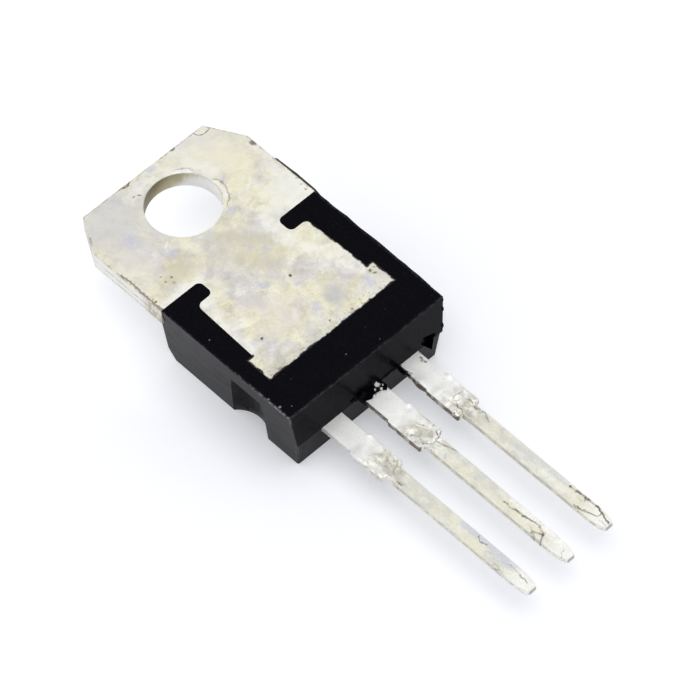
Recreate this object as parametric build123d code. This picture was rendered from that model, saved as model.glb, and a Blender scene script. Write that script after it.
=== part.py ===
"""Three-lead voltage regulator in a moulded package with a drilled heat-sink tab.

All sizes are in millimetres. The origin is the centre of the mounting hole on the back face
of the heat sink. +Z points out of that face, +Y towards the free end of the tab, and the leads
run towards -Y. The input lead lies at +X, the ground lead on the centre line and the output
lead at -X. Depths are measured from the back face towards the front face of the plastic.
"""

import os
from math import atan2, degrees

from build123d import *

# Heat-sink tab
TAB_WIDTH = 10.16
TAB_THICKNESS = 1.05
HOLE_DIAMETER = 3.9
HOLE_TO_TAB_END = 2.92
TAB_CORNER_WIDTH = 1.12
TAB_CORNER_LENGTH = 2.01

# Header, the part of the heat sink that the plastic surrounds
HOLE_TO_BODY = 3.9
LOCK_SLOT_LENGTH = 0.97
LOCK_SLOT_RADIUS = 0.3
NECK_WIDTH = 5.16
HEADER_WIDTH = 7.26
HEADER_WIDENING = 0.28
HEADER_SHOULDER_RADIUS = 0.35
HEADER_LENGTH = 6.63
ARM_WIDTH = 8.34
ARM_LENGTH = 1.61
LIP_WIDTH = 0.3
LIP_THICKNESS = 0.5

# Leads
LEAD_PITCH = 2.54
LEAD_DEPTH = 2.42
LEAD_THICKNESS = 0.38
ROOT_WIDTH = 1.27
ROOT_LENGTH = 4.08
WIDE_WIDTH = 1.44
WIDE_START = 1.85
WIDE_START_SLOPE = 0.1
LEAD_WIDTH = 0.84
LEAD_LENGTH = 13.6
SHOULDER_SLOPE = 0.07
TIP_WIDTH = 0.5
TIP_LENGTH = 0.75
TIP_SHOULDER_RADIUS = 3.0
TIP_CHAMFER = 0.11
JOGGLE_RADIUS = 0.4
JOGGLE_START = 0.35
JOGGLE_RUN = 1.15

# Bond pads at the inner ends of the input and output leads
BOND_PAD_WIDTH = 2.2
BOND_PAD_LENGTH = 1.0
BOND_PAD_RADIUS = 0.15
BOND_PAD_NECK = 0.75

# Moulded body
PACKAGE_THICKNESS = 4.4
BODY_LENGTH = 8.94
BODY_BACK_WIDTH = 10.16
BODY_FRONT_WIDTH = 9.2
LEAD_END_BULGE = 0.18
PARTING_STEP = 0.07
LEAD_END_DRAFT = 0.22
FRONT_OVERHANG = 0.19
TAB_END_BEVEL_LENGTH = 0.42
TAB_END_BEVEL_DEPTH = 0.8
FRONT_EDGE_RADIUS = 0.05
CORNER_RADIUS = 0.12

# Side notches, one on each long side, tapered and open towards the front
NOTCH_BACK_RADIUS = 1.1
NOTCH_FRONT_RADIUS = 1.53
NOTCH_BACK_CENTRE_X = 5.27
NOTCH_FRONT_CENTRE_X = 5.53
NOTCH_BACK_DISTANCE = 5.75
NOTCH_FRONT_DISTANCE = 5.53

# Gate scar on the lead end, where the runner was broken off
GATE_SCAR_DEPTH = 0.5
GATE_SCAR_CORNERS = ((3.4, -1.72), (4.33, -2.08), (4.25, -3.6), (3.42, -2.2))

# Thin flash: a fin down the +X side of the back face, and a ragged skin on the centre lead's root
SIDE_FLASH_START_Y = -1.15
SIDE_FLASH_PITCH = 0.45
SIDE_FLASH_REACHES = (
    (0.08, 0.11, 0.12, 0.15, 0.13, 0.13, 0.12, 0.04, 0.05, 0.03, 0.05, 0.09, 0.06)
    + (0.04, 0.06, 0.08, 0.09, 0.08, 0.07, 0.06, 0.08, 0.06, 0.07, 0.05, 0.03)
)
SIDE_FLASH_TOP_DEPTH = 0.02
SIDE_FLASH_THICKNESS = 0.4
LEAD_FLASH_EDGE = ((-0.7, 0.33), (-0.36, 0.47), (-0.06, 0.32), (0.29, 0.42), (0.51, 0.6), (0.7, 0.45))
LEAD_FLASH_THICKNESS = 0.07

# Round ejector mark in the front face
EJECTOR_MARK_DIAMETER = 1.8
EJECTOR_MARK_DEPTH = 0.06

# Regulator chip
DIE_WIDTH = 2.4
DIE_LENGTH = 2.6
DIE_THICKNESS = 0.28
SOLDER_THICKNESS = 0.05
SOLDER_MARGIN = 0.12
HOLE_TO_DIE_CENTRE = 7.5

# Bond wires
WIRE_DIAMETER = 0.2
WIRE_FOOT_LENGTH = 0.6
WIRE_FOOT_WIDTH = 0.3
WIRE_LOOP_HEIGHT = 0.5
WIRE_STEPS = 6

# Positions that follow from the sizes above
TAB_END_Y = HOLE_TO_TAB_END
BODY_START_Y = -HOLE_TO_BODY
BODY_END_Y = BODY_START_Y - BODY_LENGTH
PARTING_Y = BODY_END_Y - LEAD_END_BULGE
HEADER_END_Y = BODY_START_Y - HEADER_LENGTH
SHOULDER_Y = PARTING_Y - ROOT_LENGTH
TIP_Y = PARTING_Y - LEAD_LENGTH
LEAD_FRONT_DEPTH = LEAD_DEPTH + LEAD_THICKNESS
BOND_PAD_END_Y = PARTING_Y + BOND_PAD_NECK
BOND_PAD_START_Y = BOND_PAD_END_Y + BOND_PAD_LENGTH
DIE_Y = -HOLE_TO_DIE_CENTRE
DIE_FACE_DEPTH = TAB_THICKNESS + SOLDER_THICKNESS + DIE_THICKNESS


def symmetric_face(corners):
    """Face symmetric about the Y axis, from the (x, y, radius) corners of its right half."""
    outline = corners + [(-x, y, radius) for x, y, radius in reversed(corners)]
    points = [(x, y) for x, y, _ in outline]
    radii = [radius for _, _, radius in outline]
    return make_face(FilletPolyline(*points, radius=radii, close=True))


def plate(face, back_depth, front_depth):
    """Flat layer with the plan of the face, between two depths."""
    return extrude(Pos(0, 0, -front_depth) * face, front_depth - back_depth)


def header_corners(lip):
    """Right half of the header below the lock slot, widened by a lip on its three free sides."""
    slot_end_y = BODY_START_Y - LOCK_SLOT_LENGTH
    arm_y = HEADER_END_Y + ARM_LENGTH
    return [
        (HEADER_WIDTH / 2 + lip, slot_end_y, HEADER_SHOULDER_RADIUS),
        ((HEADER_WIDTH + HEADER_WIDENING) / 2 + lip, arm_y + lip, 0),
        (ARM_WIDTH / 2 + lip, arm_y + lip, 0),
        (ARM_WIDTH / 2 + lip, HEADER_END_Y - lip, 0),
    ]


def heat_sink_plate():
    """Thick stamped plate: drilled tab, waisted neck and header with its coined lip."""
    tab = [
        (TAB_WIDTH / 2 - TAB_CORNER_WIDTH, TAB_END_Y, 0),
        (TAB_WIDTH / 2, TAB_END_Y - TAB_CORNER_LENGTH, 0),
        (TAB_WIDTH / 2, BODY_START_Y, 0),
    ]
    neck = [
        (NECK_WIDTH / 2, BODY_START_Y, LOCK_SLOT_RADIUS),
        (NECK_WIDTH / 2, BODY_START_Y - LOCK_SLOT_LENGTH, LOCK_SLOT_RADIUS),
    ]
    full = plate(symmetric_face(tab + neck + header_corners(0)), 0, TAB_THICKNESS)
    lip = plate(symmetric_face(header_corners(LIP_WIDTH)), TAB_THICKNESS - LIP_THICKNESS, TAB_THICKNESS)
    return full + lip - Cylinder(HOLE_DIAMETER / 2, 3 * TAB_THICKNESS)


def lead_plan(inner_corners):
    """Plan of a lead from its inner end to its tip: root, wide part, shoulders and blade."""
    wide_y = PARTING_Y - WIDE_START
    return symmetric_face(
        inner_corners
        + [
            (ROOT_WIDTH / 2, wide_y, 0),
            (WIDE_WIDTH / 2, wide_y - WIDE_START_SLOPE, 0),
            (WIDE_WIDTH / 2, SHOULDER_Y, 0),
            (LEAD_WIDTH / 2, SHOULDER_Y - SHOULDER_SLOPE, 0),
            (LEAD_WIDTH / 2, TIP_Y + TIP_LENGTH, TIP_SHOULDER_RADIUS),
            (TIP_WIDTH / 2, TIP_Y, 0),
        ]
    )


def lead_strip(centre_line, plan):
    """Lead of even thickness along a centre line seen from the side, cut to its plan."""
    side = trace(centre_line, LEAD_THICKNESS)
    side = chamfer(side.vertices().group_by(Axis.X)[0], TIP_CHAMFER)
    strip = extrude(Plane.YZ * side, BOND_PAD_WIDTH, both=True)
    return strip & plate(plan, 0, PACKAGE_THICKNESS)


def ground_lead():
    """Centre lead, stepped down from the header to the plane of the other leads."""
    header_z = -TAB_THICKNESS + LEAD_THICKNESS / 2
    lead_z = -LEAD_DEPTH - LEAD_THICKNESS / 2
    inner_y = HEADER_END_Y + LEAD_THICKNESS
    bend_y = HEADER_END_Y - JOGGLE_START
    centre_line = FilletPolyline(
        (inner_y, header_z),
        (bend_y, header_z),
        (bend_y - JOGGLE_RUN, lead_z),
        (TIP_Y, lead_z),
        radius=JOGGLE_RADIUS,
    )
    return lead_strip(centre_line, lead_plan([(ROOT_WIDTH / 2, inner_y, 0)]))


def outer_lead():
    """Straight lead on the centre line, with a bond pad at its inner end."""
    lead_z = -LEAD_DEPTH - LEAD_THICKNESS / 2
    centre_line = Line((BOND_PAD_START_Y, lead_z), (TIP_Y, lead_z))
    pad = [
        (BOND_PAD_WIDTH / 2, BOND_PAD_START_Y, BOND_PAD_RADIUS),
        (BOND_PAD_WIDTH / 2, BOND_PAD_END_Y, BOND_PAD_RADIUS),
        (ROOT_WIDTH / 2, BOND_PAD_END_Y, BOND_PAD_RADIUS),
    ]
    return lead_strip(centre_line, lead_plan(pad))


def die_and_solder():
    """Chip on the header's front face and the solder layer under it."""
    die = Box(DIE_WIDTH, DIE_LENGTH, DIE_THICKNESS, align=(Align.CENTER, Align.CENTER, Align.MIN))
    solder = Box(
        DIE_WIDTH + 2 * SOLDER_MARGIN,
        DIE_LENGTH + 2 * SOLDER_MARGIN,
        SOLDER_THICKNESS,
        align=(Align.CENTER, Align.CENTER, Align.MIN),
    )
    solder_depth = TAB_THICKNESS + SOLDER_THICKNESS
    return Pos(0, DIE_Y, -DIE_FACE_DEPTH) * die, Pos(0, DIE_Y, -solder_depth) * solder


def bond_wire(start, start_depth, end, end_depth):
    """Arch of short straight lengths with a squared foot at each end, in an upright plane."""
    run = Vector(*end) - Vector(*start)
    upright = Plane(origin=start, x_dir=run, z_dir=run.cross(Vector(0, 0, -1)))
    half_foot = WIRE_DIAMETER / 2
    crown_depth = max(start_depth, end_depth) + WIRE_LOOP_HEIGHT
    arch = ThreePointArc(
        (0, start_depth + half_foot), (run.length / 2, crown_depth), (run.length, end_depth + half_foot)
    )
    path = Polyline(*[arch @ (step / WIRE_STEPS) for step in range(WIRE_STEPS + 1)])
    section = Plane(origin=path @ 0, z_dir=path % 0) * Circle(WIRE_DIAMETER / 2)
    wire = sweep(section, path=path, transition=Transition.RIGHT)
    foot = Box(WIRE_FOOT_LENGTH, WIRE_DIAMETER, WIRE_FOOT_WIDTH)
    return upright * (wire + Pos(arch @ 0) * foot + Pos(arch @ 1) * foot)


def bond_wires():
    """The four wires by name: input, output, output sense, and the ground wire to the header."""
    pad_y = (BOND_PAD_START_Y + BOND_PAD_END_Y) / 2
    inset = BOND_PAD_WIDTH / 4
    die_x = DIE_WIDTH / 2 - WIRE_FOOT_LENGTH
    die_y = DIE_LENGTH / 2 - WIRE_FOOT_LENGTH
    header_x = (DIE_WIDTH + HEADER_WIDTH) / 4 + SOLDER_MARGIN
    feet = {
        "input_bond_wire": ((die_x, DIE_Y - die_y), (LEAD_PITCH, pad_y), LEAD_FRONT_DEPTH),
        "output_bond_wire": ((-die_x, DIE_Y), (-LEAD_PITCH - inset, pad_y), LEAD_FRONT_DEPTH),
        "sense_bond_wire": ((-die_x / 2, DIE_Y - die_y), (-LEAD_PITCH + inset, pad_y), LEAD_FRONT_DEPTH),
        "ground_bond_wire": ((die_x / 2, DIE_Y + die_y), (header_x, DIE_Y + die_y), TAB_THICKNESS),
    }
    return {
        name: bond_wire(die_foot, DIE_FACE_DEPTH, far_foot, far_depth)
        for name, (die_foot, far_foot, far_depth) in feet.items()
    }


def body_width_at(depth):
    """Width of the body at a depth: its long sides narrow evenly from back to front."""
    taper = (BODY_BACK_WIDTH - BODY_FRONT_WIDTH) / PACKAGE_THICKNESS
    return BODY_BACK_WIDTH - taper * depth


def body_layer(side_outline, back_depth, front_depth):
    """Layer of the body: its side outline (y, z) met with the tapered section across it."""
    section = symmetric_face(
        [(body_width_at(back_depth) / 2, -back_depth, 0), (body_width_at(front_depth) / 2, -front_depth, 0)]
    )
    side = Plane.YZ * make_face(Polyline(*side_outline, close=True))
    across = extrude(Plane.XZ * section, 2 * (BODY_LENGTH + HOLE_TO_BODY), both=True)
    return extrude(side, BODY_BACK_WIDTH, both=True) & across


def back_half():
    """Plastic behind the parting line, flush with the heat sink at its back face."""
    overhang_y = BODY_START_Y + FRONT_OVERHANG
    outline = [
        (BODY_START_Y, 0),
        (BODY_START_Y, -TAB_THICKNESS),
        (overhang_y, -TAB_THICKNESS),
        (overhang_y, -LEAD_DEPTH),
        (PARTING_Y, -LEAD_DEPTH),
        (BODY_END_Y, 0),
    ]
    return body_layer(outline, 0, LEAD_DEPTH)


def front_half():
    """Plastic before the parting line, with rounded corners at the lead end."""
    overhang_y = BODY_START_Y + FRONT_OVERHANG
    step_y = PARTING_Y + PARTING_STEP
    outline = [
        (overhang_y, -LEAD_DEPTH),
        (overhang_y, -PACKAGE_THICKNESS + TAB_END_BEVEL_DEPTH),
        (overhang_y - TAB_END_BEVEL_LENGTH, -PACKAGE_THICKNESS),
        (step_y + LEAD_END_DRAFT, -PACKAGE_THICKNESS),
        (step_y, -LEAD_DEPTH),
    ]
    half = body_layer(outline, LEAD_DEPTH, PACKAGE_THICKNESS)
    upright = half.edges().filter_by(lambda edge: abs((edge % 0.5).Z) > 0.5)
    half = fillet(upright.group_by(Axis.Y)[0], CORNER_RADIUS)
    return fillet(half.faces().sort_by(Axis.Z)[0].edges(), FRONT_EDGE_RADIUS)


def side_notch():
    """Tapered round notch at +X, from the depth of the header's front face to the front."""
    height = PACKAGE_THICKNESS - TAB_THICKNESS
    lean = degrees(atan2(NOTCH_BACK_DISTANCE - NOTCH_FRONT_DISTANCE, height))
    side_lean = degrees(atan2(NOTCH_BACK_CENTRE_X - NOTCH_FRONT_CENTRE_X, height))
    widening = NOTCH_FRONT_RADIUS - NOTCH_BACK_RADIUS
    # The cone runs past both ends of the notch, and its middle is the notch's flat roof.
    reach = 1.25
    back_radius = NOTCH_BACK_RADIUS - reach * widening
    cone = Cone(NOTCH_BACK_RADIUS + reach * widening, back_radius, 2 * reach * height)
    back_centre = Pos(NOTCH_BACK_CENTRE_X, BODY_START_Y - NOTCH_BACK_DISTANCE, -TAB_THICKNESS)
    leaning = back_centre * Rot(lean, side_lean, 0) * cone
    return split(leaning, bisect_by=Plane.XY.offset(-TAB_THICKNESS), keep=Keep.BOTTOM)


def gate_scar():
    """Four-cornered pocket at the parting line where the gate broke away."""
    scar = make_face(Polyline(*GATE_SCAR_CORNERS, close=True))
    return extrude(Plane.XZ.offset(-PARTING_Y - GATE_SCAR_DEPTH) * scar, 2 * GATE_SCAR_DEPTH)


def side_flash():
    """Fin with a ragged edge that lies against the tab's side and runs on down the body."""
    root_x = BODY_FRONT_WIDTH / 2
    edge = [
        (TAB_WIDTH / 2 + reach, SIDE_FLASH_START_Y - step * SIDE_FLASH_PITCH)
        for step, reach in enumerate(SIDE_FLASH_REACHES)
    ]
    outline = [(root_x, SIDE_FLASH_START_Y)] + edge + [(root_x, edge[-1][1])]
    face = make_face(Polyline(*outline, close=True))
    return plate(face, SIDE_FLASH_TOP_DEPTH, SIDE_FLASH_TOP_DEPTH + SIDE_FLASH_THICKNESS)


def lead_flash():
    """Thin skin with a ragged end round the root of the centre lead."""
    edge = [(x, PARTING_Y - length) for x, length in LEAD_FLASH_EDGE]
    inner_y = PARTING_Y + LEAD_END_BULGE
    face = make_face(Polyline((edge[0][0], inner_y), *edge, (edge[-1][0], inner_y), close=True))
    return plate(face, LEAD_DEPTH - LEAD_FLASH_THICKNESS, LEAD_FRONT_DEPTH)


def ejector_mark():
    """Shallow round recess in the middle of the front face."""
    centre_y = BODY_START_Y - BODY_LENGTH / 2
    return Pos(0, centre_y, -PACKAGE_THICKNESS) * Cylinder(EJECTOR_MARK_DIAMETER / 2, 2 * EJECTOR_MARK_DEPTH)


def moulded_body(inserts):
    """Epoxy body cast round everything that it holds."""
    notch = side_notch()
    body = back_half() + front_half() - notch - mirror(notch, about=Plane.YZ)
    body = body - gate_scar() - ejector_mark() + side_flash() + lead_flash()
    for insert in inserts:
        body -= insert
    return body


def build_nodes():
    """Every physical piece, by the name of its node."""
    die, solder = die_and_solder()
    lead = outer_lead()
    nodes = {
        "heat_sink_tab": heat_sink_plate() + ground_lead(),
        "input_lead": Pos(LEAD_PITCH, 0, 0) * lead,
        "output_lead": Pos(-LEAD_PITCH, 0, 0) * lead,
        "regulator_die": die,
        "die_solder": solder,
    }
    nodes.update(bond_wires())
    nodes["moulded_body"] = moulded_body(list(nodes.values()))
    return nodes


os.makedirs("parts", exist_ok=True)
for name, piece in build_nodes().items():
    export_step(piece, f"parts/{name}.step")
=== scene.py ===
"""Voltage regulator lying face down: tinned copper heat sink, moulded body and three leads."""
from math import exp, radians

import bmesh
import bpy
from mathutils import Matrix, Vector, noise


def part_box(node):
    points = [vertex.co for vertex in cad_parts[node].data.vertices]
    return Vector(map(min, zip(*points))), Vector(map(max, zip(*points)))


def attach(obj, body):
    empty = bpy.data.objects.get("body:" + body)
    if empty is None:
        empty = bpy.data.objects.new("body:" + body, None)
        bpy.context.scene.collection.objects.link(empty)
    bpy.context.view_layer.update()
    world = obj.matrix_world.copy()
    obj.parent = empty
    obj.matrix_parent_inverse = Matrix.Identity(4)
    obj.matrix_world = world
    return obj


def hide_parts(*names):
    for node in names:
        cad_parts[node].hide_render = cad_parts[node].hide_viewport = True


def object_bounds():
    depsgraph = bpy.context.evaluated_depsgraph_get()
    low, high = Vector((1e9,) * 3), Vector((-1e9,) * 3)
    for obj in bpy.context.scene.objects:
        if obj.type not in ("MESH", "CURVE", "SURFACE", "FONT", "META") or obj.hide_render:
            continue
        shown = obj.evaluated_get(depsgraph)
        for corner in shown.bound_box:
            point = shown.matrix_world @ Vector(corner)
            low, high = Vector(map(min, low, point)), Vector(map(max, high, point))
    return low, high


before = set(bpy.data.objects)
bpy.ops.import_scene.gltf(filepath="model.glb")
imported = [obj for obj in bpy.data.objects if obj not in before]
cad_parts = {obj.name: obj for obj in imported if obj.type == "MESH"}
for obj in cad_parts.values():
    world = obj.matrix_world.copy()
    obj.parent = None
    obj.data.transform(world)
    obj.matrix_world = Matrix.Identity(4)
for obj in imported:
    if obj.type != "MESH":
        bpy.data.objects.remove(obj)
cad_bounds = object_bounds()
MM = 0.001
scene = bpy.context.scene


# Camera: a long lens above the lead end, rolled a little, that looks down on the back face from
# about 0.29 m away.
camera_data = bpy.data.cameras.new("camera")
camera_data.sensor_width = 36
camera_data.lens = 307.61
camera_data.clip_start = 0.01
camera_data.clip_end = 10
camera = bpy.data.objects.new("camera", camera_data)
camera.location = (-0.109215, -0.135771, 0.232377)
camera.rotation_euler = (radians(35.33), radians(1.7104), radians(-43.7602))
scene.collection.objects.link(camera)
scene.camera = camera
scene.view_settings.view_transform = "Standard"


# Studio: a wide sheet of white card under the front of the plastic, with painted light on it
# below the tab that lifts the tab's shadow, a pale room that is dim overhead, and a large softbox
# above the leads. The camera and gloss see the card as white.
def place(tree, kind, inputs=None, **options):
    """Adds a shader node, sets its options, and sets or links the inputs that are given."""
    made = tree.nodes.new("ShaderNode" + kind)
    for option, value in options.items():
        setattr(made, option, value)
    for socket, value in (inputs or {}).items():
        if isinstance(value, bpy.types.NodeSocket):
            tree.links.new(value, made.inputs[socket])
        else:
            made.inputs[socket].default_value = value
    return made


def calculate(tree, operation, first, second=0.0, third=0.0):
    """Result of one Math node."""
    return place(tree, "Math", {0: first, 1: second, 2: third}, operation=operation).outputs[0]


def measure(tree, operation, *vectors):
    """Number from one Vector Math node, such as a distance."""
    return place(tree, "VectorMath", dict(enumerate(vectors)), operation=operation).outputs["Value"]


def blend(tree, amount, under, over):
    """Colour that goes from one to the other as the amount goes from 0 to 1."""
    return place(tree, "Mix", {0: amount, 6: under, 7: over}, data_type="RGBA").outputs[2]


def rise(tree, value, low, high, bottom=0.0, top=1.0):
    """Value that rises smoothly from the bottom at the low mark to the top at the high one."""
    marks = {"From Min": low, "From Max": high, "To Min": bottom, "To Max": top}
    made = place(tree, "MapRange", {"Value": value, **marks}, interpolation_type="SMOOTHSTEP")
    return made.outputs[0]


def new_material(name):
    """Material with an empty tree."""
    material = bpy.data.materials.new(name)
    material.use_nodes = True
    material.node_tree.nodes.clear()
    return material, material.node_tree


def surface(tree, shader):
    """Ends the tree with the shader's output."""
    place(tree, "OutputMaterial", {"Surface": shader.outputs[0]})


FLOOR_Z = cad_bounds[0][2]
floor_mesh = bpy.data.meshes.new("floor")
card = bmesh.new()
bmesh.ops.create_grid(card, x_segments=1, y_segments=1, size=1.5)
bmesh.ops.translate(card, verts=card.verts, vec=(0, 0, FLOOR_Z))
card.to_mesh(floor_mesh)
card.free()
floor = bpy.data.objects.new("floor", floor_mesh)
scene.collection.objects.link(floor)

white_card, tree = new_material("white_card")
rays = place(tree, "LightPath").outputs
seen = calculate(tree, "MAXIMUM", rays["Is Camera Ray"], rays["Is Glossy Ray"])
seen = calculate(tree, "MAXIMUM", seen, rays["Is Transmission Ray"])
spot = place(tree, "TexCoord").outputs["Object"]
fibre = place(tree, "TexNoise", {"Vector": spot, "Scale": 900.0}).outputs[0]
# Painted light: near a point under the tab the card's glow rises from 0.24 to 0.42, lifting the
# tab's shadow on the floor.
from_tab = measure(tree, "DISTANCE", spot, (-0.001, 0.0, FLOOR_Z))
glow_and_painted_light = rise(tree, from_tab, 0.003, 0.010, 0.42, 0.24)
paper = place(
    tree,
    "BsdfPrincipled",
    {
        "Base Color": blend(tree, fibre, (0.77, 0.78, 0.815, 1), (0.79, 0.80, 0.835, 1)),
        "Roughness": 0.9,
        "Specular IOR Level": 0.1,
        "Emission Color": (1, 1, 1, 1),
        "Emission Strength": calculate(tree, "MULTIPLY", seen, glow_and_painted_light),
    },
)
surface(tree, paper)
floor_mesh.materials.append(white_card)

world = bpy.data.worlds.new("room")
scene.world = world
world.use_nodes = True
world.node_tree.nodes.clear()
tree = world.node_tree
is_seen = place(tree, "LightPath").outputs["Is Camera Ray"]
height = place(tree, "SeparateXYZ", {0: place(tree, "TexCoord").outputs["Generated"]}).outputs["Z"]
dimming = rise(tree, height, 0.0, 0.9, 1.0, 0.6)
room = place(tree, "Background", {"Color": (0.93, 0.945, 1.0, 1), "Strength": dimming}).outputs[0]
backdrop = place(tree, "Background", {"Color": (1, 1, 1, 1), "Strength": 1.0}).outputs[0]
choose = place(tree, "MixShader", {0: is_seen, 1: room, 2: backdrop})
place(tree, "OutputWorld", {"Surface": choose.outputs[0]})

softbox_data = bpy.data.lights.new("softbox", "AREA")
softbox_data.shape = "RECTANGLE"
softbox_data.size = 0.5
softbox_data.size_y = 0.5
softbox_data.energy = 1.25
softbox_data.color = (1.0, 0.985, 0.955)
softbox = bpy.data.objects.new("softbox", softbox_data)
softbox.location = (-0.01, -0.04, 0.5)
softbox.rotation_euler = softbox.location.to_track_quat("Z", "Y").to_euler()
scene.collection.objects.link(softbox)


# Heat sink: one stamping of copper 1.05 mm thick, drilled for a screw, with the ground lead
# bent down from its header. Its cut edges are slightly rounded, and all of it is dipped in tin,
# which has stained warm and grey, run bright at the screw hole and worn through at the edges.
# The wall of the screw hole carries painted shade and painted light.
PLASTIC_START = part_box("moulded_body")[1][1]
GROUND_LEAD_START = -13.64 * MM
LEAD_PITCH = 2.54 * MM
LEAD_DEPTH = 2.42 * MM
LEAD_TIP = cad_bounds[0][1]


def flat_copy(node):
    """Copy of a CAD node's mesh, with its triangles merged back into flat faces."""
    shape = bmesh.new()
    shape.from_mesh(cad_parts[node].data)
    bmesh.ops.remove_doubles(shape, verts=shape.verts, dist=1e-7)
    bmesh.ops.dissolve_limit(shape, angle_limit=radians(0.5), verts=shape.verts, edges=shape.edges)
    return shape


def bevel(shape, edges, width, segments=2):
    """Rounds the edges."""
    bmesh.ops.bevel(
        shape,
        geom=edges,
        offset=width,
        segments=segments,
        affect="EDGES",
        profile=0.5,
        material=-1,
        clamp_overlap=True,
    )


def sharp_edges(shape, chosen):
    """Sharp edges whose middle passes the test."""
    sharp = [edge for edge in shape.edges if edge.calc_face_angle(0) > radians(30)]
    return [edge for edge in sharp if chosen((edge.verts[0].co + edge.verts[1].co) / 2)]


def cut_beyond(shape, start_y, point, direction):
    """Splits with a plane the faces that lie beyond a place along Y."""
    faces = [face for face in shape.faces if face.calc_center_median().y < start_y]
    parts = dict.fromkeys(part for face in faces for part in (*face.verts, *face.edges, face))
    bmesh.ops.bisect_plane(shape, geom=list(parts), dist=1e-8, plane_co=point, plane_no=direction)


def slice_lead(shape, centre_x, start_y):
    """Divides the free part of a lead into a fine net of small faces."""
    length, width, depth = 0.09 * MM, 0.12 * MM, 0.095 * MM
    lengths = range(int((start_y - LEAD_TIP) / length))
    cuts = [((0, 1, 0), start_y - step * length) for step in lengths]
    cuts += [((1, 0, 0), centre_x + step * width) for step in range(-6, 7)]
    cuts += [((0, 0, 1), -LEAD_DEPTH - step * depth) for step in range(1, 4)]
    for direction, distance in cuts:
        cut_beyond(shape, start_y, Vector(direction) * distance, direction)


def tin_swell(point, lumps):
    """Thickness of tin at a point given in millimetres: lumpy from the wide part's start to the
    shoulders, faint elsewhere, and lumps given as (x, y, z, radius, height)."""
    wide_start, shoulders = -15.0, -17.6
    lumpy = 1 / (1 + exp((point.y - wide_start) * 6)) / (1 + exp((shoulders - point.y) * 5))
    spot = Vector((point.x * 1.6, point.y * 1.1, point.z * 1.6))
    swell = 0.034 * lumpy * (noise.noise(spot) + 0.8 * noise.noise(spot * 2.7))
    swell += 0.008 * noise.noise(Vector((point.x * 1.2, point.y * 0.7, point.z)))
    for x, y, z, radius, height in lumps:
        swell += height * exp(-(((point - Vector((x, y, z))).length / radius) ** 2))
    return swell


def coat_lead(shape, centre_x, start_y, lumps):
    """Rounds the edges of a lead beyond the plastic and swells its faces with tin."""
    above_root = start_y + 1.2 * MM
    cut_beyond(shape, above_root, (0, start_y, 0), (0, 1, 0))
    at_tip = LEAD_TIP + 0.01 * MM
    tips = [
        edge
        for edge in shape.edges
        if max(vertex.co.y for vertex in edge.verts) < at_tip
        and abs(edge.verts[0].co.z - edge.verts[1].co.z) > 0.1 * MM
    ]
    bevel(shape, tips, 0.13 * MM, 4)
    bevel(shape, sharp_edges(shape, lambda middle: middle.y < start_y - 0.02 * MM), 0.035 * MM)
    slice_lead(shape, centre_x, start_y)
    shape.normal_update()
    outside = [vertex for vertex in shape.verts if vertex.co.y < start_y - 0.01 * MM]
    moves = [(vertex, vertex.normal * tin_swell(vertex.co / MM, lumps) * MM) for vertex in outside]
    for vertex, move in moves:
        vertex.co += move
        vertex.co.y = max(vertex.co.y, LEAD_TIP)


def finish_piece(name, shape, material, node):
    """Makes the mesh a piece that rides on the root in place of a CAD node. Its small faces are
    smooth, and its large ones keep their own direction."""
    large = 0.3 * MM**2
    mesh = bpy.data.meshes.new(name)
    shape.to_mesh(mesh)
    shape.free()
    mesh.materials.append(material)
    mesh.set_sharp_from_angle(angle=radians(40))
    for face in mesh.polygons:
        face.use_smooth = face.area < large
    piece = bpy.data.objects.new(name, mesh)
    scene.collection.objects.link(piece)
    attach(piece, "root")
    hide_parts(node)


def vector(tree, operation, *vectors, scale=None):
    """Vector or colour from one Vector Math node."""
    inputs = dict(enumerate(vectors))
    if scale is not None:
        inputs[3] = scale
    return place(tree, "VectorMath", inputs, operation=operation).outputs[0]


def clouds(tree, spot, scale, detail=2.0, roughness=0.5, distortion=0.0):
    """Noise value about 0.5 at a scale per millimetre."""
    sizes = {"Scale": scale, "Detail": detail, "Roughness": roughness, "Distortion": distortion}
    return place(tree, "TexNoise", {"Vector": spot, **sizes}).outputs[0]


def shift(tree, spot, offset, turn=0.0, stretch=(1, 1, 1)):
    """Place moved, turned about Z and stretched, for a pattern with its own centre and grain."""
    moves = {"Location": offset, "Rotation": (0, 0, radians(turn)), "Scale": stretch}
    return place(tree, "Mapping", {"Vector": spot, **moves}).outputs[0]


def in_millimetres(tree):
    """Place on the piece in millimetres."""
    per_metre = 1 / MM
    spot = place(tree, "TexCoord").outputs["Object"]
    return shift(tree, spot, (0, 0, 0), 0, (per_metre, per_metre, per_metre))


def ragged(tree, spot, amount, scale=4.0, detail=3.0):
    """Place that wanders by the amount in millimetres, so that marks get uneven edges."""
    sizes = {"Scale": scale, "Detail": detail, "Roughness": 0.6}
    wander = place(tree, "TexNoise", {"Vector": spot, **sizes}).outputs["Color"]
    wander = vector(tree, "SUBTRACT", wander, (0.5, 0.5, 0.5))
    return vector(tree, "MULTIPLY_ADD", wander, (2 * amount, 2 * amount, 2 * amount), spot)


def patch(tree, spot, x, y, radius, soft=0.6, z=None):
    """Mask of a round patch at a place in millimetres, full inside and fading to its radius."""
    flat = vector(tree, "MULTIPLY", spot, (1, 1, 0 if z is None else 1))
    away = measure(tree, "DISTANCE", flat, (x, y, z or 0))
    return rise(tree, away, radius * (1 - soft), radius, 1.0, 0.0)


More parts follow.
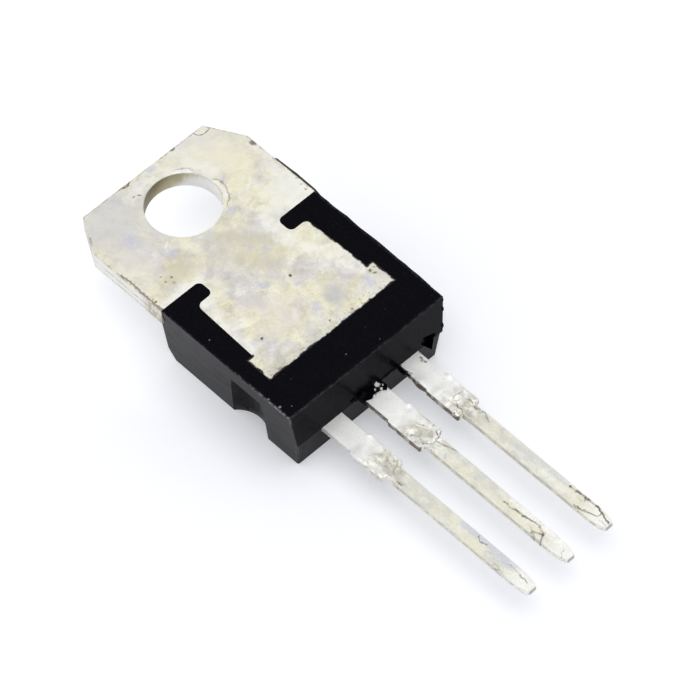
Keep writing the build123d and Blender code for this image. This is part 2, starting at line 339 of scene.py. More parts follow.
def stroke(tree, spot, points, width):
    """Mask of a line through points in millimetres, seen from the back face."""
    flat = vector(tree, "MULTIPLY", spot, (1, 1, 0))
    nearest = None
    for (x0, y0), (x1, y1) in zip(points, points[1:]):
        start, run = Vector((x0, y0, 0)), Vector((x1 - x0, y1 - y0, 0))
        reach = vector(tree, "SUBTRACT", flat, start)
        along = measure(tree, "DOT_PRODUCT", reach, run / run.length_squared)
        along = place(tree, "Clamp", {0: along}).outputs[0]
        away = measure(tree, "DISTANCE", reach, vector(tree, "SCALE", run, scale=along))
        nearest = away if nearest is None else calculate(tree, "MINIMUM", nearest, away)
    return rise(tree, nearest, width * 0.3, width, 1.0, 0.0)


def both(tree, *masks):
    """Product of masks and numbers."""
    product = masks[0]
    for mask in masks[1:]:
        product = calculate(tree, "MULTIPLY", product, mask)
    return product


def tint(tree, color, tone, *masks):
    """Colour with a tone laid over it where all the masks are full."""
    return blend(tree, both(tree, *masks), color, tone)


def satin(tree, color, roughness, height, metallic=0.4, depth=0.004):
    """Satin metal with a fine relief, its depth in millimetres."""
    bump = place(tree, "Bump", {"Strength": 0.5, "Distance": depth * MM, "Height": height})
    finish = {"Metallic": metallic, "Roughness": roughness, "Normal": bump.outputs[0]}
    surface(tree, place(tree, "BsdfPrincipled", {"Base Color": color, **finish}))


# Dipped tin of the three leads: a smooth root, near-white with grey clouds and painted lighter
# than its tin as painted light against the body's shade, a wide part where it has run thick and
# cracked, with painted highlights and cracks that are partly painted shade, a cream narrow part
# and a pale tip. Here and below, marks are placed in millimetres.
BROWN_CRACK_AND_SHADE = (0.13, 0.09, 0.05, 1)
WHITE_TIN = (0.97, 0.965, 0.92, 1)
CREAM_TIN = (0.95, 0.94, 0.86, 1)
GREY_TIN = (0.64, 0.65, 0.68, 1)
LILAC_TIN = (0.60, 0.62, 0.72, 1)
BLACK_FLASH = (0.004, 0.004, 0.005, 1)
dipped_lead = bpy.data.node_groups.new("dipped_lead", "ShaderNodeTree")
dipped_lead.interface.new_socket("Place", in_out="INPUT", socket_type="NodeSocketVector")
for label, kind in (("Color", "Color"), ("Height", "Float"), ("Roughness", "Float")):
    dipped_lead.interface.new_socket(label, in_out="OUTPUT", socket_type="NodeSocket" + kind)
tree = dipped_lead
spot = tree.nodes.new("NodeGroupInput").outputs[0]
axes = place(tree, "SeparateXYZ", {0: spot}).outputs
wander = calculate(tree, "MULTIPLY_ADD", clouds(tree, spot, 1.6, 4.0), 1.2, -0.6)
along = calculate(tree, "ADD", axes["Y"], wander)
softly = clouds(tree, shift(tree, spot, (3, 1, 0), 0, (1, 0.55, 1)), 0.9, 4.0, 0.6)
blots = clouds(tree, shift(tree, spot, (9, 2, 4), 0, (1.4, 0.7, 1)), 1.5, 6.0, 0.65)
folds = clouds(tree, shift(tree, spot, (2, 5, 1), 0, (1, 0.8, 1)), 1.9, 5.0, 0.6, 2.5)

# Painted light: the root is painted near-white, paler than the tin beyond it, to make up for the
# shade the body casts on it.
to_wide = rise(tree, axes["Y"], -13.2, -15.4)
root = blend(tree, to_wide, (0.95, 0.95, 0.91, 1), (0.97, 0.97, 0.93, 1))
root = blend(tree, rise(tree, softly, 0.62, 0.4, 0.0, 0.5), root, (0.80, 0.80, 0.79, 1))
cream = blend(tree, rise(tree, softly, 0.38, 0.6), (0.68, 0.675, 0.61, 1), (0.80, 0.775, 0.62, 1))
cream = blend(tree, rise(tree, blots, 0.5, 0.62, 0.0, 0.7), cream, (0.86, 0.845, 0.74, 1))
cream = blend(tree, rise(tree, blots, 0.42, 0.3, 0.0, 0.7), cream, (0.58, 0.59, 0.63, 1))
thick = blend(tree, rise(tree, blots, 0.42, 0.58), (0.64, 0.625, 0.53, 1), (0.96, 0.95, 0.89, 1))
thick = blend(tree, rise(tree, folds, 0.5, 0.64, 0.0, 0.7), thick, (0.42, 0.38, 0.24, 1))
color = blend(tree, rise(tree, along, -15.2, -16.2), root, thick)
color = blend(tree, rise(tree, along, -17.3, -18.6), color, cream)
color = blend(tree, rise(tree, along, -24.6, -26.0, 0.0, 0.85), color, (0.93, 0.925, 0.87, 1))

# The cracks across the wide part are partly brown cracked tin and partly painted shade: dark lines
# that stand in for dark reflections in the shiny tin.
uneven = ragged(tree, shift(tree, spot, (0, 0, 0), 0, (1, 0.6, 1)), 0.35, 2.0)
cells = place(tree, "TexVoronoi", {"Vector": uneven, "Scale": 1.1}, feature="DISTANCE_TO_EDGE")
cracks_and_shade = rise(tree, cells.outputs["Distance"], 0.0, 0.035, 1.0, 0.0)
broken = rise(tree, clouds(tree, shift(tree, spot, (4, 4, 0)), 1.1, 3.0), 0.52, 0.6)
on_wide = both(tree, rise(tree, axes["Y"], -15.6, -16.4), rise(tree, axes["Y"], -18.4, -17.9))
on_tip = rise(tree, axes["Y"], -23.0, -24.5, 0.0, 0.6)
cracks_and_shade = both(tree, cracks_and_shade, broken, calculate(tree, "MAXIMUM", on_wide, on_tip))
color = blend(tree, cracks_and_shade, color, BROWN_CRACK_AND_SHADE)

shaky = ragged(tree, spot, 0.13)
broken_up = rise(tree, clouds(tree, spot, 3.5, 4.0, 0.65), 0.38, 0.56, 0.3, 1.0)
# Width, strength, colour, and points (x, y) of each rubbed band, painted highlight, crack and smear
# of plastic.
for width, strength, tone, points in (
    (0.45, 0.8, WHITE_TIN, ((0.4, -22.5), (0.36, -23.6), (0.38, -24.6), (0.3, -25.6))),
    (0.3, 0.6, WHITE_TIN, ((3.0, -23.4), (3.1, -24.6))),
    (0.4, 0.7, LILAC_TIN, ((-2.2, -21.8), (-2.15, -23.0), (-2.2, -24.2), (-2.3, -25.0))),
    (0.35, 0.5, GREY_TIN, ((2.7, -20.0), (2.75, -21.4), (2.8, -23.4))),
    (0.3, 0.6, CREAM_TIN, ((2.5, -22.2), (2.4, -23.6))),
    # Painted highlights: white streaks along the left edges of the wide parts, where the lumps of
    # tin would catch the light.
    (0.28, 0.8, WHITE_TIN, ((-0.5, -16.1), (-0.45, -17.4))),
    (0.28, 0.7, WHITE_TIN, ((-3.05, -16.3), (-3.0, -17.4))),
    (0.3, 0.7, WHITE_TIN, ((2.05, -15.3), (2.0, -16.6))),
    (
        0.075,
        0.85,
        BROWN_CRACK_AND_SHADE,
        ((-0.05, -22.1), (0.01, -23.1), (0.19, -24.3), (-0.07, -24.8), (-0.49, -25.0)),
    ),
    (0.06, 0.7, BROWN_CRACK_AND_SHADE, ((-0.07, -24.8), (-0.3, -24.2), (-0.42, -24.6))),
    (0.085, 0.95, BROWN_CRACK_AND_SHADE, ((2.8, -23.7), (2.86, -24.6), (2.88, -25.5), (2.58, -26.5))),
    (0.06, 0.8, BROWN_CRACK_AND_SHADE, ((2.75, -25.9), (2.45, -25.8), (2.25, -25.2), (2.18, -24.6))),
    (0.055, 0.7, BROWN_CRACK_AND_SHADE, ((-2.36, -24.9), (-2.4, -25.5), (-2.5, -26.2))),
    (0.06, 0.7, BROWN_CRACK_AND_SHADE, ((-2.25, -22.7), (-2.42, -22.9), (-2.35, -23.3))),
    # Cracks across the wide parts: brown cracked tin, partly painted shade.
    (0.07, 0.8, BROWN_CRACK_AND_SHADE, ((-2.86, -17.8), (-2.78, -18.1))),
    (
        0.06,
        0.75,
        BROWN_CRACK_AND_SHADE,
        ((-0.5, -16.3), (-0.3, -16.6), (-0.42, -17.1), (-0.1, -17.4), (0.35, -17.3), (0.5, -17.0)),
    ),
    (0.06, 0.6, BROWN_CRACK_AND_SHADE, ((0.1, -17.4), (0.25, -18.0), (0.38, -18.5))),
    (0.05, 0.6, BROWN_CRACK_AND_SHADE, ((2.95, -16.8), (2.8, -17.3), (2.92, -17.8), (2.7, -18.4))),
    (0.05, 0.5, BROWN_CRACK_AND_SHADE, ((2.2, -16.4), (2.25, -17.0), (1.95, -17.5))),
    (0.05, 0.5, BROWN_CRACK_AND_SHADE, ((-2.2, -16.4), (-2.4, -16.9), (-2.1, -17.4))),
    (0.09, 0.8, BROWN_CRACK_AND_SHADE, ((2.98, -13.42), (2.9, -13.62), (2.96, -13.75))),
    (0.05, 0.6, BROWN_CRACK_AND_SHADE, ((1.96, -13.6), (2.02, -13.75))),
    (0.12, 0.9, BROWN_CRACK_AND_SHADE, ((1.84, -14.1), (1.82, -14.8))),
    (0.15, 1.0, BLACK_FLASH, ((1.88, -12.9), (1.86, -13.7))),
):
    color = tint(tree, color, tone, stroke(tree, shaky, points, width), broken_up, strength)

# The sides of the wide part were sheared off and show brown, faintly on the output lead, and an
# olive line runs along the sides of the narrow part. The end of the tip is worn brown-grey.
pitch = LEAD_PITCH / MM
line_number = calculate(tree, "ROUND", calculate(tree, "DIVIDE", axes["X"], pitch))
beside = calculate(tree, "MULTIPLY_ADD", line_number, -pitch, axes["X"])
beside = calculate(tree, "ABSOLUTE", beside)
wide_side = both(tree, rise(tree, beside, 0.58, 0.64), rise(tree, axes["Z"], -2.43, -2.47))
sheared = both(tree, wide_side, rise(tree, clouds(tree, spot, 2.3, 4.0), 0.36, 0.52, 0.35, 0.95))
sheared = both(tree, sheared, rise(tree, axes["X"], -1.6, -1.2, 0.25, 1.0))
color = blend(tree, sheared, color, (0.12, 0.085, 0.055, 1))
middle_z = -2.6
from_middle = calculate(tree, "ABSOLUTE", calculate(tree, "SUBTRACT", axes["Z"], middle_z))
line = both(
    tree,
    rise(tree, from_middle, 0.03, 0.09, 1.0, 0.0),
    rise(tree, clouds(tree, spot, 3.0, 4.0), 0.4, 0.55),
    rise(tree, beside, 0.34, 0.38),
    rise(tree, axes["Y"], -17.5, -17.9),
)
color = tint(tree, color, (0.40, 0.36, 0.20, 1), line, 0.75)
tip_y = LEAD_TIP / MM
on_end = rise(tree, axes["Y"], tip_y + 0.06, tip_y + 0.02, 0.0, 0.85)
color = blend(tree, on_end, color, (0.40, 0.37, 0.30, 1))
grain = rise(tree, clouds(tree, spot, 9.0, 5.0, 0.7), 0.3, 0.7, 0.93, 1.05)
color = vector(tree, "SCALE", color, scale=grain)

lumpiness = calculate(tree, "ADD", folds, blots)
relief = both(tree, rise(tree, along, -15.0, -16.0, 0.15, 1.0), lumpiness, 5.0)
relief = calculate(tree, "SUBTRACT", relief, cracks_and_shade)
dullness = rise(tree, along, -15.2, -16.2, 0.45, 0.27)
dullness = calculate(tree, "ADD", dullness, rise(tree, along, -17.4, -18.6, 0.0, 0.12))
result = tree.nodes.new("NodeGroupOutput")
for socket, value in enumerate((color, relief, dullness)):
    tree.links.new(value, result.inputs[socket])

# Stained tin of the tab and header: cream and lilac-grey clouds, olive blooms, blue freckles,
# pale rubbed spots, fine wrinkles and dark specks, with larger marks laid over them.
BLUE = (0.52, 0.55, 0.72, 1)
PALE = (0.93, 0.915, 0.83, 1)
BROWN_PIT = (0.10, 0.07, 0.035, 1)
tab_tin, tree = new_material("heat_sink_tin")
spot = in_millimetres(tree)
axes = place(tree, "SeparateXYZ", {0: spot}).outputs
warped = ragged(tree, spot, 0.65, 1.1, 4.0)
broad = rise(tree, clouds(tree, warped, 0.45, 4.0, 0.6), 0.38, 0.6)
color = blend(tree, broad, (0.69, 0.665, 0.64, 1), (0.85, 0.815, 0.61, 1))
bloom = rise(tree, clouds(tree, warped, 1.3, 8.0, 0.72), 0.46, 0.66)
color = tint(tree, color, (0.52, 0.485, 0.31, 1), bloom, 0.5)
rubbed = rise(tree, clouds(tree, shift(tree, warped, (7, 3, 0)), 0.9, 7.0, 0.7), 0.5, 0.66)
color = tint(tree, color, PALE, rubbed, 0.6)
freckles = rise(tree, clouds(tree, shift(tree, warped, (-4, 9, 2)), 2.4, 5.0, 0.7), 0.62, 0.74)
color = tint(tree, color, BLUE, freckles, 0.35)
wrinkles = clouds(tree, spot, 1.7, 4.0, 0.55, 0.6)
color = vector(tree, "SCALE", color, scale=rise(tree, wrinkles, 0.3, 0.7, 0.92, 1.07))
mottle = rise(tree, clouds(tree, spot, 8.0, 6.0, 0.75), 0.3, 0.7, 0.94, 1.05)
color = vector(tree, "SCALE", color, scale=mottle)
specks = rise(tree, clouds(tree, shift(tree, spot, (1, 5, 8)), 7.0, 2.0), 0.73, 0.78)
color = tint(tree, color, (0.16, 0.12, 0.06, 1), specks, 0.6)
stained_height = calculate(tree, "MULTIPLY_ADD", clouds(tree, spot, 4.0, 5.0, 0.6), 0.8, bloom)
stained_height = calculate(tree, "MULTIPLY_ADD", wrinkles, 0.9, stained_height)

loose = ragged(tree, spot, 0.9, 0.8)
# Place (x, y), radius, strength and colour of each broad stain.
for x, y, radius, strength, tone in (
    (-3.0, 1.4, 3.0, 0.7, (0.64, 0.63, 0.63, 1)),
    (-4.0, -1.0, 1.8, 0.5, (0.80, 0.76, 0.69, 1)),
    (2.6, 2.0, 2.6, 0.5, (0.90, 0.885, 0.78, 1)),
    (3.6, 0.6, 2.4, 0.6, (0.86, 0.82, 0.64, 1)),
    (0.0, -3.4, 2.2, 0.5, (0.66, 0.62, 0.46, 1)),
    (-3.0, -2.7, 1.3, 0.6, (0.62, 0.57, 0.38, 1)),
    (0.7, -5.0, 1.6, 0.5, (0.66, 0.62, 0.44, 1)),
    (-1.2, -8.0, 1.8, 0.5, (0.78, 0.73, 0.62, 1)),
    (1.57, -9.15, 0.9, 0.7, (0.52, 0.51, 0.53, 1)),
    (-3.4, -10.2, 1.0, 0.8, (0.56, 0.54, 0.45, 1)),
    (-0.6, -10.4, 1.2, 0.5, (0.62, 0.61, 0.54, 1)),
    (3.4, -10.2, 1.1, 0.6, (0.78, 0.77, 0.70, 1)),
    (4.3, -2.7, 1.7, 0.75, (0.93, 0.925, 0.85, 1)),
):
    color = tint(tree, color, tone, patch(tree, loose, x, y, radius, 0.8), strength)
soft = ragged(tree, spot, 0.45, 1.4)
worn = rise(tree, clouds(tree, spot, 1.7, 6.0, 0.7), 0.38, 0.6, 0.25, 1.0)
# Width, strength and points (x, y) of each pale worn band.
for width, strength, points in (
    (
        0.7,
        0.8,
        (
            (5.0, -3.6),
            (3.4, -3.75),
            (2.3, -3.4),
            (2.1, -4.5),
            (2.4, -5.9),
            (3.1, -7.4),
            (3.4, -8.6),
        ),
    ),
    (
        0.55,
        0.8,
        (
            (-5.0, -3.8),
            (-3.5, -3.75),
            (-2.5, -4.1),
            (-3.2, -4.9),
            (-3.6, -6.4),
            (-3.6, -7.6),
            (-3.7, -8.8),
        ),
    ),
    (0.4, 0.5, ((4.9, 0.5), (4.95, -1.5), (4.9, -3.6))),
    (0.5, 0.6, ((-1.6, 2.2), (0.0, 2.35), (1.6, 1.9), (2.4, 0.6))),
):
    color = tint(tree, color, PALE, stroke(tree, soft, points, width), worn, strength)
smeared = ragged(tree, spot, 0.55, 2.4)
# Place (x, y), radius and colour of each blue and pale spot.
for x, y, radius, tone in (
    (-2.06, -5.45, 0.3, BLUE),
    (0.5, -4.2, 0.3, BLUE),
    (0.96, -4.8, 0.35, BLUE),
    (-2.35, -1.65, 0.45, BLUE),
    (0.31, 2.62, 0.35, BLUE),
    (1.41, -1.75, 0.35, BLUE),
    (2.5, -0.2, 0.3, BLUE),
    (-0.6, -6.2, 0.4, BLUE),
    (0.4, -9.0, 0.4, BLUE),
    (-3.2, 0.2, 0.4, BLUE),
    (3.2, -9.7, 0.4, BLUE),
    (-0.07, -5.75, 0.25, PALE),
    (-0.89, -6.35, 0.2, PALE),
    (-1.43, -2.1, 0.25, PALE),
    (0.9, -2.6, 0.3, PALE),
    (-3.0, -1.2, 0.3, PALE),
):
    color = tint(tree, color, tone, patch(tree, smeared, x, y, radius, 0.8), 0.5)
near = ragged(tree, spot, 0.14)
on_face = rise(tree, axes["Z"], -0.3, -0.1)
# Place (x, y), radius and strength of each brown pit.
for x, y, radius, strength in (
    (0.75, -6.75, 0.11, 1.0),
    (-2.75, -8.5, 0.09, 1.0),
    (-4.89, -3.32, 0.1, 0.9),
    (-4.9, -3.1, 0.06, 0.7),
    (-1.12, 1.94, 0.09, 0.8),
    (-1.42, 2.04, 0.08, 0.6),
    (0.27, -10.02, 0.07, 0.8),
    (4.99, 0.37, 0.25, 0.8),
    (5.0, -2.7, 0.09, 0.35),
    (4.92, -3.15, 0.09, 0.4),
    (4.88, -3.5, 0.1, 0.5),
    (3.68, -9.25, 0.12, 0.8),
    (3.75, -9.5, 0.09, 0.8),
    (3.95, -9.25, 0.08, 0.6),
    (-3.73, -2.4, 0.08, 0.6),
    (-3.76, -2.75, 0.09, 0.6),
    (-3.37, -2.76, 0.09, 0.6),
    (-3.5, -3.1, 0.08, 0.5),
    (-3.35, -10.42, 0.2, 0.6),
    (1.5, -10.3, 0.12, 0.6),
):
    color = tint(tree, color, BROWN_PIT, patch(tree, near, x, y, radius), on_face, strength)
# Width, strength and points (x, y) of each brown score.
for width, strength, points in (
    (0.05, 0.7, ((3.3, 2.83), (3.5, 2.5), (3.83, 2.43), (4.11, 2.55))),
    (0.05, 0.4, ((1.08, 1.84), (1.37, 1.73), (1.61, 1.55), (1.74, 1.27))),
    (0.05, 0.5, ((1.95, 0.2), (2.2, 0.0), (2.28, -0.4), (2.1, -0.87), (1.85, -1.3), (1.5, -1.5))),
    (0.08, 0.8, ((-1.6, 2.9), (-1.16, 2.75), (-0.93, 2.88))),
    (0.1, 0.8, ((1.75, 2.92), (1.95, 2.85), (2.05, 2.92))),
    (0.09, 0.7, ((-5.0, -1.0), (-4.95, -1.6), (-4.99, -2.2), (-5.02, -3.0), (-5.0, -3.9))),
):
    color = tint(tree, color, BROWN_PIT, stroke(tree, near, points, width), on_face, strength)
bright_runs = (
    ((1.95, 0.2), (2.1, -0.2), (2.02, -0.7), (1.75, -1.15)),
    ((1.05, 1.68), (1.35, 1.55), (1.6, 1.3)),
)
for points in bright_runs:
    color = tint(tree, color, (0.96, 0.95, 0.9, 1), stroke(tree, near, points, 0.15), 0.6)

# The header's end is speckled, the rim of the tab is frayed dark, and the plastic round the
# header has bled on it.
speckled = rise(tree, clouds(tree, spot, 5.0, 6.0, 0.75), 0.52, 0.62)
header_end = both(tree, rise(tree, axes["Y"], -9.7, -10.5), rise(tree, axes["Y"], -10.8, -10.6))
color = tint(tree, color, (0.24, 0.22, 0.15, 1), header_end, speckled, 0.65)
outline = ((-5.08, -3.9), (-5.08, 0.9), (-3.96, 2.92), (3.96, 2.92), (5.08, 0.9), (5.08, -3.9))
frayed = rise(tree, clouds(tree, spot, 2.2, 5.0, 0.7), 0.45, 0.6)
rim = stroke(tree, near, outline, 0.1)
color = tint(tree, color, (0.30, 0.25, 0.14, 1), rim, frayed, on_face, 0.6)
bled = ragged(tree, spot, 0.17, 2.3)
plastic_edges = (
    ((-4.17, -10.54), (4.17, -10.54), (4.17, -8.92), (3.78, -8.92)),
    ((3.78, -8.92), (3.66, -4.7)),
    ((-4.17, -10.54), (-4.17, -8.92), (-3.78, -8.92)),
)
for points in plastic_edges:
    color = blend(tree, stroke(tree, bled, points, 0.12), color, BLACK_FLASH)

# The wall of the hole is painted with shade and light, from dark olive towards -X, where it faces
# away from the light, to pale towards +X, and the -X side of the tab is scored.
from_hole = measure(tree, "LENGTH", vector(tree, "MULTIPLY", spot, (1, 1, 0)))
bore = both(tree, rise(tree, from_hole, 2.03, 1.97), rise(tree, axes["Z"], -0.02, -0.1))
streaks = clouds(tree, shift(tree, spot, (0, 0, 0), 0, (1, 1, 0.3)), 2.2, 5.0, 0.65)
# Painted shade and painted light on the hole's wall: dark olive towards -X, pale towards +X and
# deeper down.
toward_lit_side = calculate(tree, "MULTIPLY_ADD", streaks, 1.2, calculate(tree, "SUBTRACT", axes["X"], 1.1))
toward_lit_side = calculate(tree, "MULTIPLY_ADD", axes["Z"], -0.9, toward_lit_side)
bore_shade_and_light = blend(tree, rise(tree, toward_lit_side, -0.7, 1.1), (0.22, 0.175, 0.07, 1), (0.60, 0.54, 0.35, 1))
bore_shade_and_light = blend(tree, rise(tree, toward_lit_side, 0.9, 1.8), bore_shade_and_light, (0.98, 0.97, 0.92, 1))
color = blend(tree, bore, color, bore_shade_and_light)
flank = both(tree, rise(tree, axes["X"], -5.03, -5.07), rise(tree, axes["Z"], -0.03, -0.1))
flank_tin = blend(tree, rise(tree, streaks, 0.4, 0.6), (0.42, 0.33, 0.22, 1), (0.84, 0.83, 0.77, 1))
flank_tin = blend(tree, rise(tree, axes["Y"], -3.1, -2.4), flank_tin, (0.88, 0.87, 0.81, 1))
color = tint(tree, color, flank_tin, flank, 0.85)
wavy = place(tree, "SeparateXYZ", {0: ragged(tree, spot, 0.1, 0.7)}).outputs["Z"]
for level in (-0.52, -0.93):
    away = calculate(tree, "ABSOLUTE", calculate(tree, "SUBTRACT", wavy, level))
    scored = both(tree, rise(tree, away, 0.02, 0.07, 1.0, 0.0), rise(tree, streaks, 0.36, 0.5))
    color = tint(tree, color, (0.30, 0.26, 0.16, 1), flank, scored, 0.5)

# The ground lead beyond the header, with a skin of plastic round its root.
lead = place(tree, "Group", {0: spot}, node_tree=dipped_lead).outputs
on_lead = rise(tree, axes["Y"], -11.8, -12.2)
on_header = rise(tree, axes["Y"], -12.2, -11.8)
color = blend(tree, on_lead, color, lead["Color"])
skin = ((-0.75, -13.3), (-0.3, -13.25), (0.3, -13.2), (0.75, -13.3))
skin = stroke(tree, ragged(tree, spot, 0.2, 3.0), skin, 0.28)
color = tint(tree, color, BLACK_FLASH, skin, rise(tree, clouds(tree, spot, 4.0, 4.0), 0.4, 0.45))
height = both(tree, lead["Height"], on_lead)
height = calculate(tree, "MULTIPLY_ADD", stained_height, on_header, height)
roughness = both(tree, rise(tree, bloom, 0.0, 1.0, 0.42, 0.5), on_header)
roughness = calculate(tree, "MULTIPLY_ADD", lead["Roughness"], on_lead, roughness)
satin(tree, color, roughness, height)

heat_sink = flat_copy("heat_sink_tab")
tab_edges = sharp_edges(heat_sink, lambda middle: middle.y > PLASTIC_START + 0.02 * MM)
bevel(heat_sink, tab_edges, 0.05 * MM)
ground_lumps = ((0.7, -14.97, -2.5, 0.16, 0.07), (0.66, -17.2, -2.45, 0.2, 0.05))
coat_lead(heat_sink, 0, GROUND_LEAD_START, ground_lumps)
finish_piece("tinned_heat_sink", heat_sink, tab_tin, "heat_sink_tab")


# Input and output leads: straight strips of the same tinned copper, stamped with the heat sink
# and cut free from it after the plastic was cast. Their inner ends are bond pads in the plastic.
PLASTIC_END = -13.02 * MM
lead_tin, tree = new_material("lead_tin")
lead = place(tree, "Group", {0: in_millimetres(tree)}, node_tree=dipped_lead).outputs
satin(tree, lead["Color"], lead["Roughness"], lead["Height"])
for name, centre_x, lumps in (
    ("input_lead", LEAD_PITCH, ((3.24, -15.1, -2.5, 0.16, 0.07), (1.86, -14.4, -2.7, 0.35, 0.1))),
    (
        "output_lead",
        -LEAD_PITCH,
        ((-1.84, -14.9, -2.5, 0.16, 0.07), (-3.24, -15.5, -2.5, 0.4, 0.07)),
    ),
):
    strip = flat_copy(name)
    coat_lead(strip, centre_x, PLASTIC_END - 0.02 * MM, lumps)
    finish_piece("tinned_" + name, strip, lead_tin, name)


# Moulded body: black epoxy cast round the metal, satin from the mould. Its back edges carry grey
# lines, partly rubbed wear and partly painted highlight, worst at the output lead's corner, dust
# sits on it, and a runner broke off the end.
# In millimetres: half its width at the back, the slope of its sides, its end and the end's slope.
HALF_WIDTH = 5.08
SIDE_LEAN = 0.109
END_Y = -12.84
END_LEAN = 0.074


def on_outside(middle):
    """True for a point on the skin of the body, away from what it holds."""
    x, y, z = middle / MM
    on_back = z > -0.001 and (abs(x) > 4.9 or y < -12.7)
    on_side = abs(x) > HALF_WIDTH + SIDE_LEAN * z - 0.3
    return on_back or on_side or y < -12.6 or z < -4.3


epoxy_skin, tree = new_material("epoxy_skin")
spot = in_millimetres(tree)
axes = place(tree, "SeparateXYZ", {0: spot}).outputs
grain = clouds(tree, spot, 9.0, 5.0, 0.65)
paler = rise(tree, grain, 0.4, 0.65)
color = blend(tree, paler, (0.0014, 0.0014, 0.0028, 1), (0.0036, 0.0036, 0.0056, 1))
uneven = ragged(tree, spot, 0.07, 5.0)
rough_axes = place(tree, "SeparateXYZ", {0: uneven}).outputs
to_back = calculate(tree, "ABSOLUTE", rough_axes["Z"])
to_left = calculate(tree, "ADD", rough_axes["X"], HALF_WIDTH)
to_left = calculate(tree, "MULTIPLY_ADD", axes["Z"], SIDE_LEAN, to_left)
to_left = calculate(tree, "ABSOLUTE", to_left)
to_right = calculate(tree, "ABSOLUTE", calculate(tree, "SUBTRACT", rough_axes["X"], HALF_WIDTH))
to_end = calculate(tree, "SUBTRACT", rough_axes["Y"], END_Y)
to_end = calculate(tree, "MULTIPLY_ADD", axes["Z"], -END_LEAN, to_end)
to_end = calculate(tree, "ABSOLUTE", to_end)
chipped = rise(tree, clouds(tree, spot, 4.5, 4.0, 0.65), 0.42, 0.62)
chipped = rise(tree, chipped, 0.0, 1.0, 0.2, 1.0)
# Distances to the two faces that meet at each grey edge line, partly rubbed wear and partly painted
# highlight, and how strong the line is.
for first, second, strength in (
    (to_left, to_back, rise(tree, axes["Y"], -8.0, -12.4, 0.12, 1.0)),
    (to_end, to_back, rise(tree, axes["X"], -5.0, -1.0, 0.25, 0.1)),
    (to_right, to_back, 0.1),
    (to_left, to_end, rise(tree, axes["Z"], -1.4, -0.1, 0.05, 0.7)),
):
    # Painted highlight, partly rubbed wear: grey lines along the back edges.
    edge = rise(tree, calculate(tree, "MAXIMUM", first, second), 0.02, 0.13, 1.0, 0.0)
    color = tint(tree, color, (0.20, 0.20, 0.21, 1), edge, chipped, strength)
# Place (x, y), radius and grey of each fleck on the back face.
for x, y, radius, grey in (
    (-4.45, -12.35, 0.05, 0.2),
    (-4.9, -12.0, 0.1, 0.2),
    (-4.98, -11.3, 0.08, 0.15),
    (-0.55, -12.0, 0.06, 0.14),
    (-4.6, -6.8, 0.06, 0.15),
    (-3.4, -11.2, 0.04, 0.06),
    (2.6, -11.4, 0.04, 0.06),
    (1.2, -12.5, 0.05, 0.1),
):
    color = blend(tree, patch(tree, uneven, x, y, radius, 0.7, 0.0), color, (grey, grey, grey, 1))
torn = ragged(tree, spot, 0.1, 7.0)
# Place (x, y) and radius of each spot where metal shows through the flash at the ground lead.
for x, y, radius in (
    (0.36, -13.1, 0.17),
    (0.1, -13.24, 0.08),
    (0.34, -13.4, 0.1),
    (0.56, -13.3, 0.07),
):
    color = blend(tree, patch(tree, torn, x, y, radius, 0.5, -2.34), color, (0.72, 0.71, 0.66, 1))
fin = both(tree, rise(tree, axes["X"], 5.085, 5.12), rise(tree, axes["Y"], -4.3, -3.9))
color = blend(tree, fin, color, (0.06, 0.048, 0.036, 1))
dust = rise(tree, clouds(tree, shift(tree, spot, (3, 8, 1)), 5.5, 1.0), 0.79, 0.82)
color = tint(tree, color, (0.10, 0.10, 0.10, 1), dust, 0.3)
scuffed = shift(tree, spot, (5, 5, 5), 35, (1, 0.25, 1))
scuffed = rise(tree, clouds(tree, scuffed, 3.0, 5.0, 0.6), 0.4, 0.7)
roughness = calculate(tree, "MULTIPLY_ADD", scuffed, 0.1, 0.2)
pit = patch(tree, uneven, -4.98, -9.5, 0.09, 0.5, -0.9)
relief = calculate(tree, "SUBTRACT", both(tree, grain, 0.3), both(tree, pit, 4.0))
bump = place(tree, "Bump", {"Strength": 0.35, "Distance": 0.003 * MM, "Height": relief})
finish = {"Roughness": roughness, "Specular IOR Level": 0.045, "Normal": bump.outputs[0]}
surface(tree, place(tree, "BsdfPrincipled", {"Base Color": color, **finish}))

body = flat_copy("moulded_body")
bevel(body, sharp_edges(body, on_outside), 0.04 * MM)
# Middle and reach along X, Y and Z of each lump of flash: at the ground lead's root, at the
# input lead, down the +X corner of the end, and along the fin on the +X side.
for centre, reach in (
    ((-0.98, -13.0, -2.3), (0.36, 0.1, 0.17)),
    ((-0.62, -13.1, -2.2), (0.2, 0.14, 0.13)),
    ((1.25, -12.99, -2.38), (0.6, 0.08, 0.1)),
    ((1.83, -13.3, -2.47), (0.09, 0.42, 0.12)),
    ((5.02, -12.83, -0.2), (0.07, 0.06, 0.14)),
    ((4.97, -12.89, -0.87), (0.07, 0.06, 0.18)),
    ((4.84, -12.97, -2.05), (0.08, 0.06, 0.2)),
    ((5.13, -1.2, -0.2), (0.08, 0.17, 0.15)),
    ((5.16, -2.1, -0.18), (0.05, 0.4, 0.13)),
    ((5.15, -3.25, -0.18), (0.06, 0.4, 0.13)),
):
    lump = bmesh.ops.create_icosphere(body, subdivisions=4, radius=1)["verts"]
    for vertex in lump:
        vertex.co *= 1 + 0.5 * noise.noise(vertex.co * 1.7 + Vector(centre))
        ways = zip(centre, reach, vertex.co)
        vertex.co = Vector([(middle + size * way) * MM for middle, size, way in ways])
finish_piece("epoxy_body", body, epoxy_skin, "moulded_body")


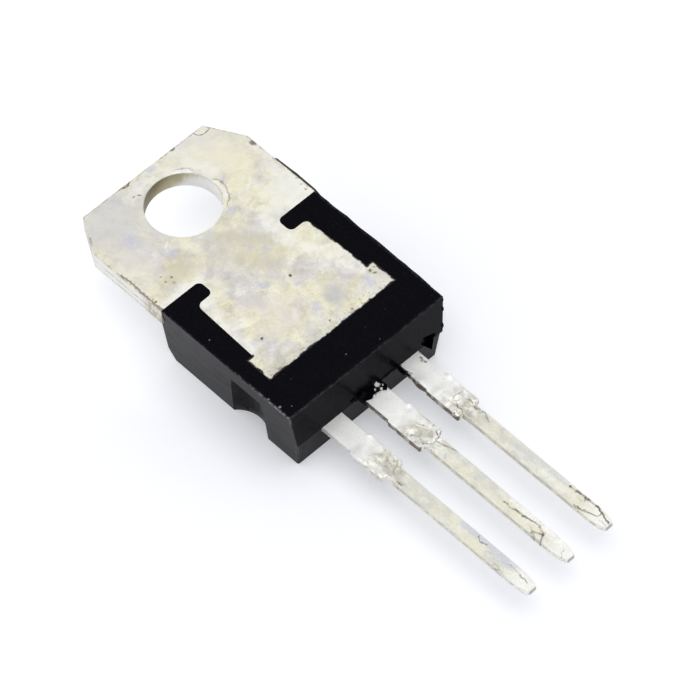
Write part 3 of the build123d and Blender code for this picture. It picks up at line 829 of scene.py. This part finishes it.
# Chip: a thin square of silicon, polished dark blue-grey, with paler tracks between its fields.
# It was sawn from a wafer and lies face out on the header, soldered down.
silicon, tree = new_material("silicon_chip")
spot = in_millimetres(tree)
fields = {"Scale": 4.0, "Color1": (0.05, 0.06, 0.09, 1), "Color2": (0.08, 0.07, 0.10, 1)}
gaps = {"Mortar Size": 0.03, "Mortar": (0.30, 0.31, 0.33, 1)}
tracks = place(tree, "TexBrick", {"Vector": spot, **fields, **gaps})
sawn = clouds(tree, shift(tree, spot, (0, 0, 0), 0, (1, 1, 12)), 6.0, 3.0)
kerf = rise(tree, sawn, 0.4, 0.7, 0.0, 0.4)
color = blend(tree, kerf, tracks.outputs["Color"], (0.16, 0.17, 0.20, 1))
satin(tree, color, rise(tree, sawn, 0.3, 0.7, 0.18, 0.4), sawn, 0.3, 0.001)
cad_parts["regulator_die"].material_slots[0].material = silicon


# Solder under the chip: a thin dull-grey layer of soft solder, melted between the chip and the
# header, that squeezed out a little all round.
solder, tree = new_material("soft_solder")
pools = clouds(tree, in_millimetres(tree), 3.0, 5.0, 0.6, 1.0)
color = blend(tree, rise(tree, pools, 0.35, 0.65), (0.36, 0.36, 0.37, 1), (0.60, 0.60, 0.59, 1))
satin(tree, color, rise(tree, pools, 0.3, 0.7, 0.3, 0.55), pools, 0.8, 0.003)
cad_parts["die_solder"].material_slots[0].material = solder


# Bond wires: aluminium wire pressed on the chip's pads and welded to the leads and the header,
# bright along its length with faint draw marks.
aluminium, tree = new_material("aluminium_wire")
lengthwise = shift(tree, in_millimetres(tree), (0, 0, 0), 0, (14, 1.2, 14))
drawn = clouds(tree, lengthwise, 2.0, 4.0, 0.6)
color = blend(tree, rise(tree, drawn, 0.35, 0.65), (0.70, 0.71, 0.73, 1), (0.86, 0.86, 0.87, 1))
satin(tree, color, rise(tree, drawn, 0.3, 0.7, 0.22, 0.4), drawn, 0.9, 0.001)
for wire in ("input_bond_wire", "ground_bond_wire", "output_bond_wire", "sense_bond_wire"):
    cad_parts[wire].material_slots[0].material = aluminium
